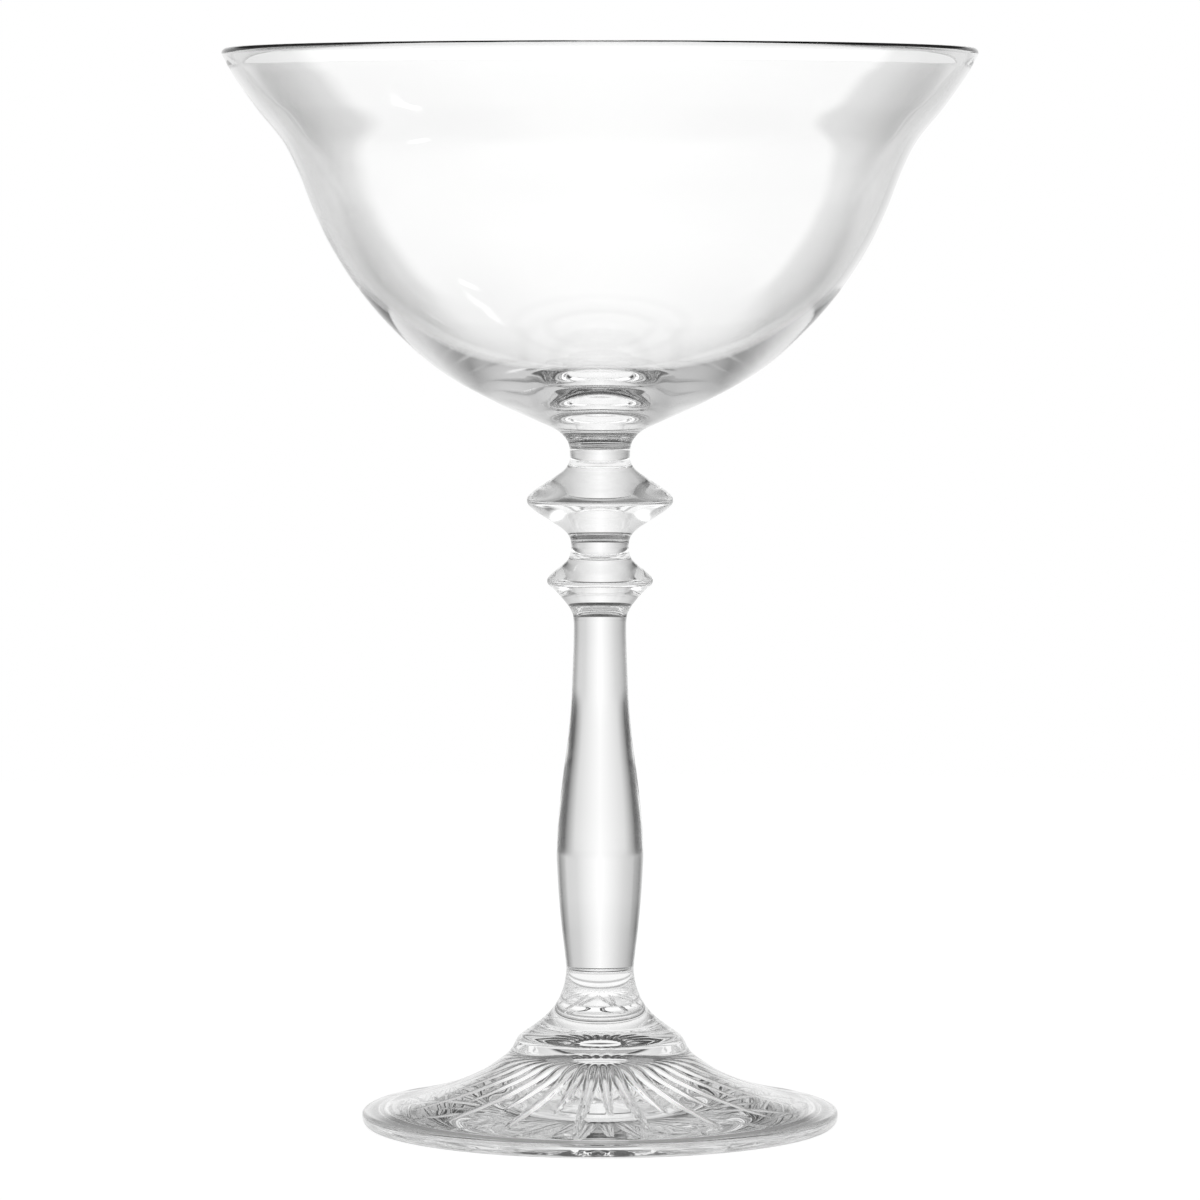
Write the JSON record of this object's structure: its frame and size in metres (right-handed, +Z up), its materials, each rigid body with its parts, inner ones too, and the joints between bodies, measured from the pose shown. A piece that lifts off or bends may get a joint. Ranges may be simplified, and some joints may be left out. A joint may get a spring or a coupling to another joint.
{
  "type": "coupe glass",
  "caption": "Clear stemmed coupe: wide flared bowl, stem with an upper and a lower knop over a swelling leg, round foot with a collar and pressed rays",
  "frame": {"origin": "centre of the foot's underside, on the plane that the glass stands on", "axes": "+Z runs up the axis of the glass; +X and +Y are level, and only the pattern of rays under the foot tells them apart"},
  "size_m": [0.11, 0.11, 0.1575],
  "materials": {
    "blown_glass": "fire-polished clear soda-lime glass",
    "pressed_glass": "fire-polished clear pressed soda-lime glass"
  },
  "bodies": {
    "root": {"bowl": "blown_glass", "stem": "pressed_glass", "foot": "pressed_glass"}
  },
  "joints": []
}
